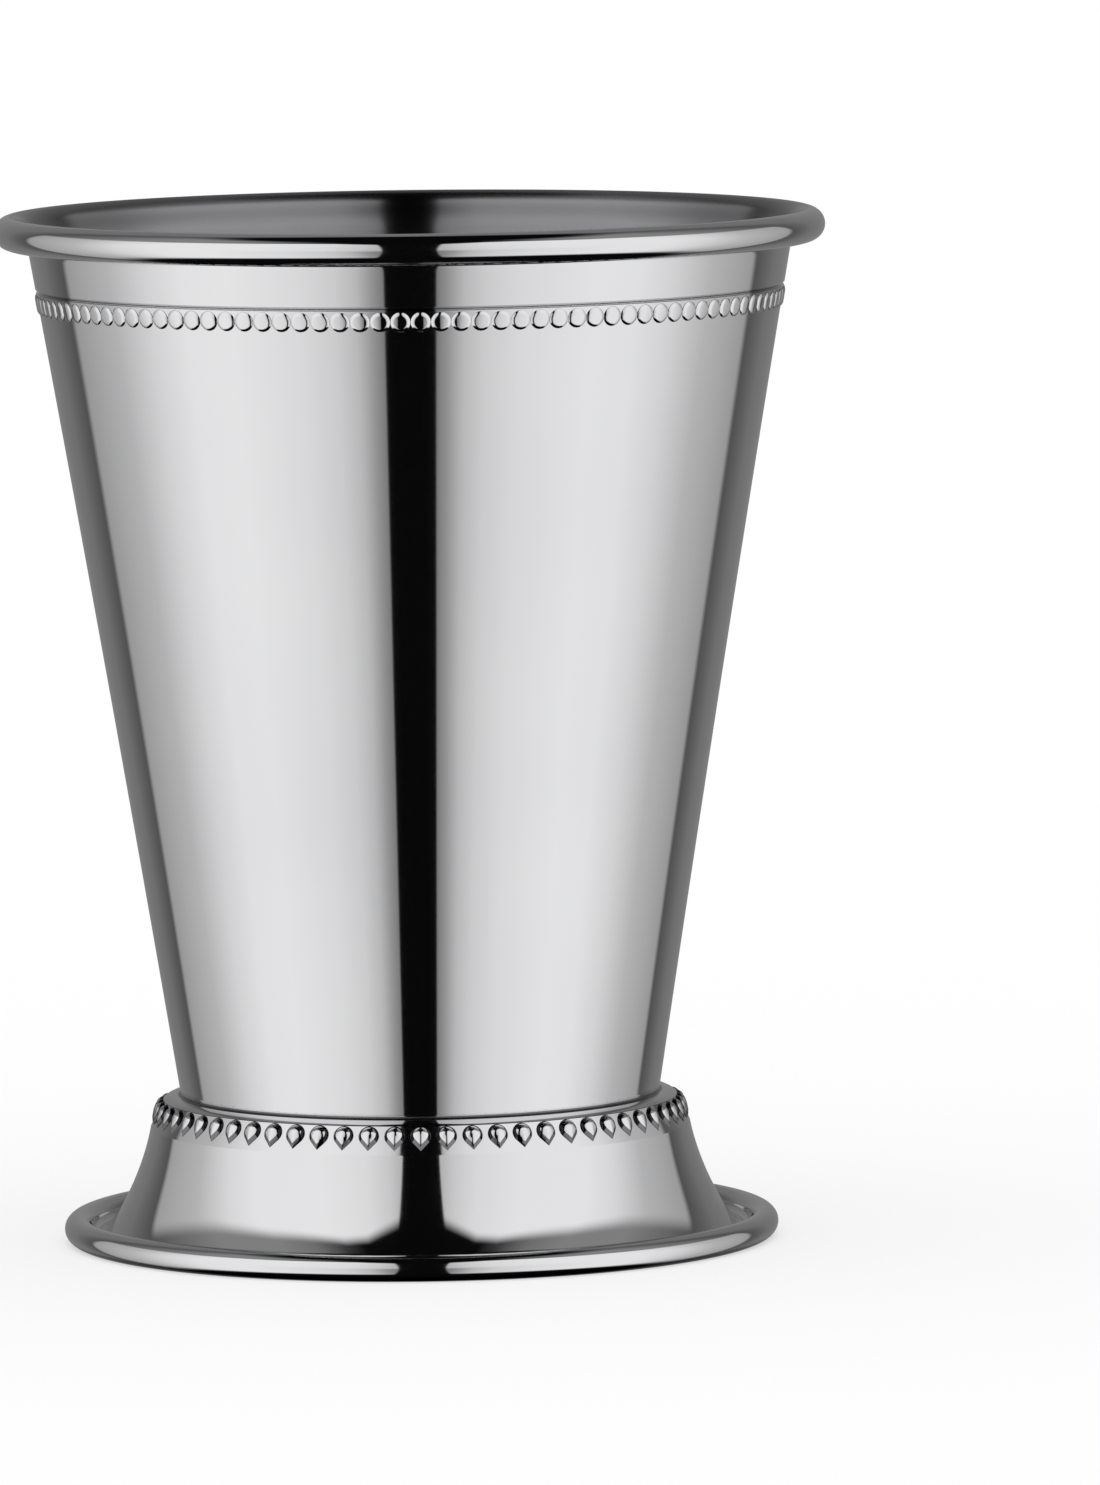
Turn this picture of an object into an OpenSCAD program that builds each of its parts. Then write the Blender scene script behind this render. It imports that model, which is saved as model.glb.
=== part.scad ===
// Julep cup: a tapered drinking cup of polished sheet metal, with a wired rolled rim, a row of
// beads under the rim, and a hollow flared foot with a row of drops on its shoulder.
// All sizes are in millimetres. The cup stands on z = 0 and its axis is the z axis.

/* [Cup] */
// Height from the table to the top of the rolled rim
cup_h = 115.5; // [104:0.5:128]
// Diameter across the rolled rim
rim_d = 93; // [86:0.5:100]
// Outside diameter of the wall where it enters the foot
waist_d = 53.8; // [50:0.1:57]
// Thickness of the wall's sheet
wall_t = 0.7; // [0.5:0.05:0.9]
// How far the wall bows in from a straight line, half way up
wall_bow = 0.2; // [0:0.05:0.8]

/* [Rolled rim] */
// Diameter of the rim's round section
rim_roll_d = 3.6; // [3.2:0.1:4.4]
// How far the wall stands in from the rim's round section
lip_step = 0.3; // [0.2:0.05:0.6]
// Height of the round section's middle above the place where the wall turns out
lip_h = 2.4; // [1.8:0.1:3]
// Angle at which the wall runs into the round section, from straight outwards
lip_turn = 160; // [150:1:164]
// Angle at which the rim's sheet stops curling, from straight outwards
curl_end = -140; // [-145:1:-90]

/* [Floor] */
// Height of the floor's upper face over the foot's top edge
floor_rise = 0.7; // [0.3:0.1:6]
// Thickness of the floor's sheet
floor_t = 0.8; // [0.6:0.05:1.2]
// Height of the fillet of solder round the floor
floor_fillet = 0.8; // [0.4:0.1:1.5]

/* [Upper beads] */
// Depth of the middle of the bead row under the top of the rim
bead_drop = 9.75; // [8:0.25:14]
// Diameter of one bead
bead_d = 2.2; // [1.6:0.1:2.2]
// Radius of a bead's rounded edge, round its flat top
bead_edge_r = 0.66; // [0.4:0.02:0.7]
// Slope of a bead's edge where it meets its strip
bead_edge_turn = 45; // [35:1:55]
// Distance from one bead to the next
bead_pitch = 2.22; // [2.2:0.02:3]
// Height of the strip that carries the beads
bead_strip_h = 2.4; // [2.3:0.1:3.2]
// Thickness of the strip, which is also the depth of its channel in the wall
bead_strip_t = 0.3; // [0.2:0.05:0.4]
// Open groove above the strip, whose upper side slants out
bead_groove = 0.12; // [0.1:0.02:0.3]

/* [Foot] */
// Height of the foot's top edge
foot_h = 16.5; // [14:0.1:20]
// Diameter across the foot's rolled edge
foot_d = 80.3; // [76:0.5:88]
// Thickness of the foot's sheet
foot_t = 0.9; // [0.7:0.05:1.1]
// Width of the flat ring between the wall and the shoulder
shoulder_set = 0.4; // [0.3:0.05:0.8]
// Radius of the round shoulder outside that ring
shoulder_r = 2.75; // [2.2:0.05:3.2]
// Lean of the foot's side where the flare starts, from straight down
flare_top_lean = 11; // [5:1:16]
// Lean of the foot's side where the flare reaches the channel, from straight down
flare_lean = 42; // [36:1:48]
// Depth of the collar that the foot's top edge turns down along the wall
collar_h = 2.6; // [2:0.1:3.2]
// Diameter of the foot edge's round section
foot_roll_d = 3.1; // [2.9:0.1:3.8]
// Radius of the channel's round bottom, between the flare and the rolled edge
channel_r = 0.9; // [0.7:0.05:1.3]
// Gap between the table and the sheet under the channel
channel_lift = 0.15; // [0.1:0.05:0.4]
// Angle at which the foot's sheet stops curling, from straight outwards
foot_curl_end = -112; // [-115:1:-100]
// Amount ground off the rolled edge to give it a flat to stand on
foot_flat = 0.05; // [0.03:0.01:0.12]
// Height of the run of solder between the foot and the wall
joint_fillet = 0.3; // [0.15:0.05:0.3]

/* [Foot drops] */
// Depth of the drop row's upper end under the foot's top edge
drop_drop = 0.5; // [0.4:0.05:0.8]
// Height of the strip that carries the drops
drop_strip_h = 3; // [2.8:0.1:3.6]
// Thickness of the strip, which is also the depth of its seat in the shoulder
drop_strip_t = 0.2; // [0.15:0.05:0.3]
// Lean of the strip's straight seat, from straight down
seat_lean = 25; // [22:1:30]
// Width of one drop
drop_w = 2.3; // [1.8:0.1:2.5]
// Length of one drop's pointed tail, from the middle of its head
drop_tail = 1.7; // [1.5:0.05:1.75]
// How far a drop stands out of its strip
drop_rise = 0.5; // [0.3:0.05:0.6]
// Distance from one drop to the next
drop_pitch = 2.9; // [2.8:0.05:3.6]

/* [Hidden] */

// Clearance between a wire and the sheet that is curled round it
wire_gap = 0.05;
// Clearance at each end of the drop strip's seat, and at the foot of the bead strip's channel
strip_gap = 0.05;
// Overrun of everything that is cut away or trimmed
overrun = 1;
// Hair gap between a strip and its beads or drops, which on a real strip are one piece with it
bead_gap = 0.02;

// Steps along the wall, along the flare, round each arc or lip, round the start of the shoulder,
// and round each curl
wall_steps = 8;
curve_steps = 12;
arc_steps = 9;
shoulder_steps = 3;
curl_steps = 30;
$fn = 96;
// Sides of one bead or drop
bead_sides = 32;
// Steps round a drop's head, and the angle at which they start, which is hidden in its strip
drop_steps = 4;
head_turn = 60;

// Pulls of the lip's and the flare's curve at their two ends, as shares of their spans
lip_pull_shares = [0.35, 0.35];
flare_pull_shares = [0.38, 0.22];
// How far a fillet's face is drawn in to its corner
fillet_pull_share = 0.25;

// Radii and heights that follow from the driving sizes
rim_roll_r = rim_roll_d / 2;
rim_c = [rim_d / 2 - rim_roll_r, cup_h - rim_roll_r];
waist_r = waist_d / 2;
neck_r = rim_d / 2 - rim_roll_d - lip_step;
neck_z = rim_c.y - lip_h;
wall_z = foot_h - collar_h;
floor_z = foot_h + floor_rise;
bead_z = cup_h - bead_drop;
foot_roll_r = foot_roll_d / 2;
foot_c = [foot_d / 2 - foot_roll_r, foot_roll_r - foot_flat];
channel_z = channel_lift + foot_t + channel_r;
channel_c = [
    foot_c.x - sqrt(pow(foot_roll_r + channel_r, 2) - pow(channel_z - foot_c.y, 2)), channel_z
];
channel_turn = atan2(channel_z - foot_c.y, foot_c.x - channel_c.x);
shoulder_c = [waist_r + shoulder_set, foot_h - shoulder_r];

// A station is a point of a sheet's guiding face and the unit normal into the sheet
function mix(a, b, share) = a + (b - a) * share;
function reversed(list) = [for (i = [len(list) - 1:-1:0]) list[i]];
function shifted(path, depth) = [for (s = path) s[0] + depth * s[1]];
function round_path(c, r, from, to, steps, side) = [
    for (i = [0:steps]) let (a = mix(from, to, i / steps), out = [cos(a), sin(a)])
    [c + r * out, side * out]
];
function bezier(p, u) =
    pow(1 - u, 3) * p[0] + 3 * u * pow(1 - u, 2) * p[1] + 3 * u * u * (1 - u) * p[2]
    + pow(u, 3) * p[3];
function slope(p, u) =
    pow(1 - u, 2) * (p[1] - p[0]) + 2 * u * (1 - u) * (p[2] - p[1]) + u * u * (p[3] - p[2]);
function right_of(v) = [v.y, -v.x] / norm(v);
function curve_path(p, steps, side) = [
    for (i = [0:steps]) [bezier(p, i / steps), side * right_of(slope(p, i / steps))]
];
// Guide points of a curve that leaves a along the heading ha and reaches b along hb
function guides(a, ha, b, hb, pull_shares) = let (span = norm(b - a)) [
    a, a + pull_shares[0] * span * ha, b - pull_shares[1] * span * hb, b
];
// Station at an edge, whose normal lies half way between those of its two sides
function edge_station(p, n1, n2) = [p, (n1 + n2) / norm(n1 + n2)];
// Point at one height on the straight line from a to b
function on_line(a, b, z) = mix(a, b, (z - a.y) / (b.y - a.y));

// Outside of the wall: a cone that bows in slightly between the foot and the rim
function wall_share(z) = (z - foot_h) / (neck_z - foot_h);
function wall_r(z) = let (u = wall_share(z)) mix(waist_r, neck_r, u) - 4 * wall_bow * u * (1 - u);
function wall_slope(z) =
    (neck_r - waist_r - 4 * wall_bow * (1 - 2 * wall_share(z))) / (neck_z - foot_h);
function wall_heading(z) = let (g = wall_slope(z)) [g, 1] / norm([g, 1]);
function wall_station(z) = [[wall_r(z), z], -right_of(wall_heading(z))];

// Outside face of the wall's sheet, from its foot up through the lip and round the curl
lip_path = curve_path(
    guides(
        [wall_r(neck_z), neck_z], wall_heading(neck_z),
        rim_c + (rim_roll_r - wall_t) * [cos(lip_turn), sin(lip_turn)],
        [sin(lip_turn), -cos(lip_turn)], lip_pull_shares
    ), arc_steps, -1
);
wall_path = concat(
    [wall_station(wall_z)],
    [for (i = [0:wall_steps - 1]) wall_station(mix(foot_h, neck_z, i / wall_steps))]
);
curl_path = round_path(rim_c, rim_roll_r - wall_t, lip_turn, curl_end, curl_steps, 1);
// Inside face of the wall near its foot, which carries the floor
wall_in = shifted(wall_path, wall_t);

// Straight seat of the drop strip, from its upper end to its lower end
seat_top = foot_h - drop_drop;
seat_turn = asin((seat_top - shoulder_c.y) / shoulder_r);
seat_h = drop_strip_h + 2 * strip_gap;
seat_a = shoulder_c + shoulder_r * [cos(seat_turn), sin(seat_turn)];
seat_b = seat_a + seat_h * [tan(seat_lean), -1];
seat_in = -[cos(seat_lean), sin(seat_lean)];

// Outside face of the foot's sheet, from its top edge down to the table and round the curl
shoulder_path = concat(
    [[[waist_r, foot_h], [0, -1]]],
    round_path(shoulder_c, shoulder_r, 90, seat_turn, shoulder_steps, -1)
);
flare_path = curve_path(
    guides(
        seat_b, [sin(flare_top_lean), -cos(flare_top_lean)],
        channel_c - channel_r * [cos(flare_lean), sin(flare_lean)],
        [sin(flare_lean), -cos(flare_lean)], flare_pull_shares
    ), curve_steps, 1
);
channel_path = round_path(channel_c, channel_r, 180 + flare_lean, 360 - channel_turn, arc_steps, 1);
foot_curl_path =
    round_path(foot_c, foot_roll_r, 180 - channel_turn, foot_curl_end, curl_steps, -1);
side_path = concat(
    [for (i = [0:shoulder_steps]) shoulder_path[i]],
    [edge_station(seat_a, shoulder_path[shoulder_steps + 1][1], seat_in)],
    [edge_station(seat_b, flare_path[0][1], seat_in)],
    [for (i = [1:curve_steps]) flare_path[i]]
);
// Backs of the two strips' seats: straight lines from their upper ends to their lower ends
channel_line = [
    for (z = [bead_z + bead_strip_h / 2 + bead_groove, bead_z - bead_strip_h / 2 - strip_gap])
    [wall_r(z) - bead_strip_t, z]
];
seat_line = [seat_a + drop_strip_t * seat_in, seat_b + drop_strip_t * seat_in];

// A strip's line leaves a gap over it and one under it, and its outward side is its face
function strip_line(line, over, under) = [
    on_line(line[0], line[1], line[0].y - over), on_line(line[0], line[1], line[1].y + under)
];
function out_of(line) = -right_of(line[1] - line[0]);
// Point of a strip's face, with the hair gap on it, at a share of the way down
function face_point(line, t, share) = mix(line[0], line[1], share) + (t + bead_gap) * out_of(line);
bead_line = strip_line(channel_line, bead_groove, strip_gap);
drop_line = strip_line(seat_line, strip_gap, strip_gap);

// Beads have a flat top with a rounded edge, and drops are turned about a line behind their backs
bead_r = bead_d / 2;
bead_rise = bead_edge_r * (1 - cos(bead_edge_turn));
bead_top_r = bead_r - bead_edge_r * sin(bead_edge_turn);
bead_count = round(2 * PI * face_point(bead_line, bead_strip_t, 1 / 2).x / bead_pitch);
drop_r = drop_w / 2;
drop_turn_r = (pow(drop_r, 2) + pow(drop_rise, 2)) / (2 * drop_rise);
drop_sink = drop_turn_r - drop_rise;
// A drop's head touches the strip's upper end, and its tail ends over the lower end
drop_span = norm(drop_line[1] - drop_line[0]);
drop_count = round(2 * PI * face_point(drop_line, drop_strip_t, 1 / 2).x / drop_pitch);
// Distance from the head's centre to the tip of the cone that shows a tail of this length
drop_tip = drop_turn_r
    * (drop_turn_r * drop_tail + drop_sink * sqrt(pow(drop_tail, 2) - pow(drop_r, 2)))
    / pow(drop_r, 2);

// Closed outline of a sheet of thickness t whose guiding face follows the path
module sheet(path, t) {
    polygon(concat(shifted(path, 0), reversed(shifted(path, t))));
}

// Concave fillet in the corner at c, between the ends a and b of its two legs
module fillet(c, a, b) {
    pull = mix(mix(a, b, 1 / 2), c, 1 - fillet_pull_share);
    polygon(concat([c], [
        for (i = [0:arc_steps]) let (u = i / arc_steps)
        pow(1 - u, 2) * a + 2 * u * (1 - u) * pull + u * u * b
    ]));
}

// Tapered wall, turned out at the top and curled down round the rim's wire
module body_wall() {
    color("#d9dadc") rotate_extrude()
        difference() {
            sheet(concat(wall_path, lip_path, [for (i = [1:curl_steps]) curl_path[i]]), wall_t);
            polygon([
                channel_line[0], channel_line[1], channel_line[1] + [overrun, 0],
                channel_line[0] + [overrun, overrun]
            ]);
        }
}

// Wire that the rim is curled round
module rim_wire() {
    color("#a9abad") rotate_extrude()
        translate(rim_c) circle(rim_roll_r - wall_t - wire_gap);
}

// Floor, a disc with its edge turned down inside the wall's foot
module body_floor() {
    edge = on_line(wall_in[1], wall_in[2], floor_z);
    color("#b9bbbd") rotate_extrude()
        polygon([
            [0, floor_z], edge, wall_in[1], wall_in[0], wall_in[0] - [floor_t, 0],
            [wall_in[1].x - floor_t, floor_z - floor_t], [0, floor_z - floor_t]
        ]);
}

// Solder run round the edge of the floor, inside the cup
module floor_solder() {
    corner = on_line(wall_in[1], wall_in[2], floor_z);
    color("#c4c6c8") rotate_extrude()
        fillet(
            corner, corner - [floor_fillet, 0],
            on_line(wall_in[1], wall_in[2], floor_z + floor_fillet)
        );
}

// Flat ring of thickness t whose back follows the line
module band(line, t) {
    face = [for (p = line) p + t * out_of(line)];
    rotate_extrude() polygon([line[0], line[1], face[1], face[0]]);
}

// Copies of a bead or drop all round a strip, each with its back to the strip
module ring_of(count, line, t, share) {
    place = face_point(line, t, share);
    out = out_of(line);
    for (i = [0:count - 1])
        rotate([0, 0, 360 * i / count])
            translate([place.x, 0, place.y])
                rotate([0, 90 - atan2(out.y, out.x), 0]) children();
}

// One round bead: a low disc with a rounded edge, whose axis points straight up here
module bead() {
    rotate_extrude($fn = bead_sides)
        intersection() {
            union() {
                translate([bead_top_r, bead_rise - bead_edge_r]) circle(bead_edge_r);
                square([bead_top_r, bead_rise]);
            }
            square([bead_r, bead_rise]);
        }
}

// Strip of round beads that lies in the wall's upper channel
module upper_bead_strip() {
    color("#dddfe1") {
        band(bead_line, bead_strip_t);
        ring_of(bead_count, bead_line, bead_strip_t, 1 / 2) bead();
    }
}

// Foot: collar, shoulder, flare, channel and the edge that is curled round the foot's wire
module foot_shell() {
    color("#cfd1d3") rotate_extrude()
        difference() {
            union() {
                sheet(
                    concat(
                        side_path, [for (i = [1:arc_steps]) channel_path[i]],
                        [for (i = [1:curl_steps]) foot_curl_path[i]]
                    ), foot_t
                );
                polygon([
                    [wall_r(wall_z), wall_z], [waist_r, foot_h],
                    [waist_r + foot_t / 2, foot_h - foot_t / 2], [wall_r(wall_z) + foot_t, wall_z]
                ]);
            }
            polygon([
                seat_line[0], seat_line[1], seat_b - overrun * seat_in, seat_a - overrun * seat_in
            ]);
            translate([0, -overrun]) square([foot_d, overrun]);
        }
}

// Wire that the foot's edge is curled round
module foot_wire() {
    color("#a9abad") rotate_extrude()
        translate(foot_c) circle(foot_roll_r - foot_t - wire_gap);
}

// One drop with a flat back, which lies with its head at the origin and its tail along x
module drop() {
    cone_turn = asin(drop_turn_r / drop_tip);
    outline = shifted(round_path([0, 0], drop_turn_r, -head_turn, cone_turn, drop_steps, 1), 0);
    intersection() {
        translate([0, 0, -drop_sink])
            rotate([0, 90, 0])
                rotate_extrude($fn = bead_sides)
                    polygon(concat(outline, [[0, drop_tip], [0, outline[0].y]]));
        translate([-drop_turn_r, -drop_turn_r, 0])
            cube([drop_turn_r + drop_tip, 2 * drop_turn_r, drop_turn_r]);
    }
}

// Strip of drops that lies in the shoulder's seat
module foot_drop_strip() {
    color("#dddfe1") {
        band(drop_line, drop_strip_t);
        ring_of(drop_count, drop_line, drop_strip_t, drop_r / drop_span) drop();
    }
}

// Solder run round the joint between the wall and the foot's top edge
module joint_solder() {
    corner = shoulder_path[0][0];
    color("#8f9193") rotate_extrude()
        fillet(
            corner, on_line(corner, wall_path[2][0], foot_h + joint_fillet),
            corner + [joint_fillet, 0]
        );
}

body_wall();
rim_wire();
body_floor();
floor_solder();
upper_bead_strip();
foot_shell();
foot_wire();
foot_drop_strip();
joint_solder();
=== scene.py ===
"""Looks of a footed metal julep cup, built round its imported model.

Every length is in metres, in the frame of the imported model: the cup stands on z = 0, its axis is
the z axis, and the camera looks along +Y. A section of the cup is drawn in a plane through its
axis, with points of (radius, height) and angles in degrees from straight outwards.
"""

import logging
from dataclasses import dataclass, replace
from enum import Enum
from math import acos, asin, atan2, cos, degrees, pi, radians, sin, sqrt, tan, tau
from typing import Sequence

import bmesh
import bpy
from mathutils import Matrix, Vector


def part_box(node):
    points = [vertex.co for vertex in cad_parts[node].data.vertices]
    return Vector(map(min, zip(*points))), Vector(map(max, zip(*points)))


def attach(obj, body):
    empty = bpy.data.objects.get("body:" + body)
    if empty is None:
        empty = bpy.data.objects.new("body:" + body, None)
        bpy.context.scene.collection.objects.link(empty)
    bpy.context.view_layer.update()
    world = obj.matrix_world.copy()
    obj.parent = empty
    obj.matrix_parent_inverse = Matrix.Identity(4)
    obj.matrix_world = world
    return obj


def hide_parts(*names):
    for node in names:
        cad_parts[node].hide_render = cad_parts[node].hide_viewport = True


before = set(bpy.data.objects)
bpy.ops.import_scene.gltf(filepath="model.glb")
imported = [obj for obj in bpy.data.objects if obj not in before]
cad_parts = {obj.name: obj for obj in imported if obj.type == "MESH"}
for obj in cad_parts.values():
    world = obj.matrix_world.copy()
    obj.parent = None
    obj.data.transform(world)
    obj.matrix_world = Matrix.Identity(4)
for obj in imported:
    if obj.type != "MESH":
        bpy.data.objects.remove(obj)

LOG = logging.getLogger("julep_cup")
MM = 0.001
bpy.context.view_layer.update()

# Points of a turned piece that lie closer than this are merged
MERGE = 0.0005 * MM
# Edges of a turned piece that are sharper than this stay sharp, in degrees
SHARP_EDGE = 40.0
# Faces of a bead's blank whose normal rises more than this are its top
FACING_UP = 0.9
# Room round a wire inside its rolled edge, and between a bead strip and its recess
WIRE_GAP = 0.05 * MM
STRIP_GAP = 0.05 * MM
WIRE_STEPS = 24
# How near its corner the hollow face of a run of solder is pulled, as a share of its depth
SOLDER_PULL = 0.25
SOLDER_STEPS = 10
# Turns the blur of a spun surface from along its lines to across them, as a share of a turn
QUARTER_TURN = 0.25
HALF_TURN = 180.0
WHITE = (1.0, 1.0, 1.0, 1.0)
# Sockets of a Mix node that mixes colours
MIX_A, MIX_B, MIX_RESULT = 6, 7, 2

Tree = bpy.types.NodeTree
Socket = bpy.types.NodeSocket
Stops = tuple[tuple[float, float], ...]


class Metal(Enum):
    """Which side of its guiding line a sheet's metal lies on."""

    OUTSIDE = 1
    INSIDE = -1


class Polish(Enum):
    """How a surface was brought to its finish.

    The value is the radius, in millimetres, at which the noise of its lines isn't drawn out. The
    smaller it is, the longer the lines run round the cup.
    """

    BUFFED = 6.0
    SPUN = 1.5
    DRAWN = 3.0


@dataclass(frozen=True)
class Station:
    """A point of a sheet's guiding line, with the unit direction into the sheet."""

    point: Vector
    inward: Vector

    def at(self, depth: float) -> Vector:
        """Returns the point at a depth under the guiding line."""
        return self.point + depth * self.inward


def heading(turn: float) -> Vector:
    """Returns the unit direction at an angle, in degrees, from straight outwards."""
    return Vector((cos(radians(turn)), sin(radians(turn))))


def right_of(direction: Vector) -> Vector:
    """Returns the unit direction that lies to the right of another."""
    return Vector((direction.y, -direction.x)).normalized()


def arc(
    centre: Vector, radius: float, start: float, stop: float, steps: int, metal: Metal
) -> list[Station]:
    """Walks round an arc.

    Args:
        centre: Middle of the arc.
        radius: Radius of the guiding line.
        start: Angle of the first station, in degrees.
        stop: Angle of the last station, in degrees.
        steps: Number of steps between the two.
        metal: Side of the arc on which the sheet lies.

    Returns:
        The stations from start to stop.
    """
    turns = [start + (stop - start) * i / steps for i in range(steps + 1)]
    return [Station(centre + radius * heading(t), metal.value * heading(t)) for t in turns]


def sweep(
    start: Vector, leave: Vector, stop: Vector, reach: Vector,
    pulls: tuple[float, float], steps: int, metal: Metal,
) -> list[Station]:
    """Walks along a smooth curve between two points.

    Args:
        start: First point.
        leave: Unit direction in which the curve leaves it.
        stop: Last point.
        reach: Unit direction in which the curve reaches it.
        pulls: Length of the curve's two handles, as shares of the straight distance.
        steps: Number of steps along the curve.
        metal: OUTSIDE where the sheet lies to the right of the curve.

    Returns:
        The stations from start to stop.
    """
    span = (stop - start).length
    p = [start, start + pulls[0] * span * leave, stop - pulls[1] * span * reach, stop]
    stations = []
    for i in range(steps + 1):
        u = i / steps
        v = 1 - u
        point = v**3 * p[0] + 3 * u * v * v * p[1] + 3 * u * u * v * p[2] + u**3 * p[3]
        along = v * v * (p[1] - p[0]) + 2 * u * v * (p[2] - p[1]) + u * u * (p[3] - p[2])
        stations.append(Station(point, metal.value * right_of(along)))
    return stations


def on_line(a: Vector, b: Vector, height: float) -> Vector:
    """Returns the point at one height on the straight line through two points."""
    return a.lerp(b, (height - a.y) / (b.y - a.y))


def deselect_all() -> None:
    """Clears the selection, so that the next operator acts on one object alone."""
    bpy.ops.object.select_all(action="DESELECT")


def activate(piece: bpy.types.Object) -> None:
    """Selects one object alone and makes it the active one.

    Args:
        piece: The object.
    """
    deselect_all()
    piece.select_set(True)
    bpy.context.view_layer.objects.active = piece


def draw_outline(name: str, outline: Sequence[Vector]) -> bpy.types.Object:
    """Draws a closed outline in the plane y = 0 and leaves it in edit mode.

    Args:
        name: Name of the new piece.
        outline: Points of the section, in order round it.

    Returns:
        The piece, whose mesh is a closed loop of edges.
    """
    deselect_all()
    # A small plane merged to its middle is the first point, and each extrude adds the next
    start = Vector((outline[0].x, 0, outline[0].y))
    bpy.ops.mesh.primitive_plane_add(size=MM, location=start)
    piece = bpy.context.object
    piece.name = piece.data.name = name
    bpy.ops.object.transform_apply(location=True, rotation=False, scale=False)
    bpy.ops.object.mode_set(mode="EDIT")
    bpy.ops.mesh.select_mode(type="VERT")
    bpy.ops.mesh.merge(type="CENTER")
    for a, b in zip(outline, outline[1:]):
        step = (b.x - a.x, 0, b.y - a.y)
        bpy.ops.mesh.extrude_region_move(TRANSFORM_OT_translate={"value": step})
    # Only the two ends have a single edge, and a last edge joins them
    mesh = bmesh.from_edit_mesh(piece.data)
    for vertex in mesh.verts:
        vertex.select = len(vertex.link_edges) == 1
    bmesh.update_edit_mesh(piece.data)
    bpy.ops.mesh.edge_face_add()
    return piece


def turn_on_lathe(name: str, outline: Sequence[Vector], segments: int) -> bpy.types.Object:
    """Turns a closed outline round the cup's axis, as a spinner shapes sheet on a chuck.

    Args:
        name: Name of the new piece.
        outline: Points of the section, in order round it.
        segments: Number of steps round the axis.

    Returns:
        The turned piece, closed and with its faces outwards.
    """
    piece = draw_outline(name, outline)
    bpy.ops.mesh.select_all(action="SELECT")
    bpy.ops.mesh.spin(steps=segments, angle=tau, center=(0, 0, 0), axis=(0, 0, 1))
    bpy.ops.mesh.select_all(action="SELECT")
    bpy.ops.mesh.remove_doubles(threshold=MERGE)
    bpy.ops.mesh.normals_make_consistent(inside=False)
    bpy.ops.object.mode_set(mode="OBJECT")
    return piece


def smooth(piece: bpy.types.Object, sharp_edge: float = SHARP_EDGE) -> None:
    """Shades a piece smooth, apart from edges sharper than an angle in degrees."""
    activate(piece)
    bpy.ops.object.shade_smooth_by_angle(angle=radians(sharp_edge))


def ring_of(piece: bpy.types.Object, count: int) -> list[bpy.types.Object]:
    """Repeats a piece evenly round the cup's axis, and removes it.

    Args:
        piece: The piece.
        count: Number of copies.

    Returns:
        The copies, each with a mesh of its own.
    """
    copies = []
    for i in range(count):
        copy = piece.copy()
        copy.data = piece.data.copy()
        copy.data.transform(Matrix.Rotation(tau * i / count, 4, "Z"))
        bpy.context.scene.collection.objects.link(copy)
        copies.append(copy)
    bpy.data.objects.remove(piece)
    return copies


def join(first: bpy.types.Object, others: Sequence[bpy.types.Object]) -> None:
    """Joins pieces into one.

    Args:
        first: The piece that stays.
        others: The pieces that go into it.
    """
    activate(first)
    for other in others:
        other.select_set(True)
    bpy.ops.object.join()


def linear(hex_colour: str) -> tuple[float, float, float, float]:
    """Turns an sRGB colour into a linear one.

    Args:
        hex_colour: The colour as # and six hex digits.

    Returns:
        Linear red, green, blue and alpha.
    """
    levels = [int(hex_colour[i : i + 2], 16) / 255 for i in (1, 3, 5)]
    r, g, b = (c / 12.92 if c <= 0.04045 else ((c + 0.055) / 1.055) ** 2.4 for c in levels)
    return r, g, b, 1.0


def grey(level: float) -> tuple[float, float, float, float]:
    """Returns the linear colour of a neutral grey."""
    return level, level, level, 1.0


def add_node(
    tree: Tree, kind: str, inputs: dict | None = None, **settings: object
) -> bpy.types.Node:
    """Adds one node.

    Args:
        tree: Tree that gets the node.
        kind: The node's type name.
        inputs: Value or output socket for each input, by the input's name or number.
        settings: Attributes of the node itself.

    Returns:
        The new node.
    """
    node = tree.nodes.new(kind)
    for name, value in settings.items():
        setattr(node, name, value)
    for key, value in (inputs or {}).items():
        if isinstance(value, Socket):
            tree.links.new(value, node.inputs[key])
        else:
            node.inputs[key].default_value = value
    return node


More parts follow.
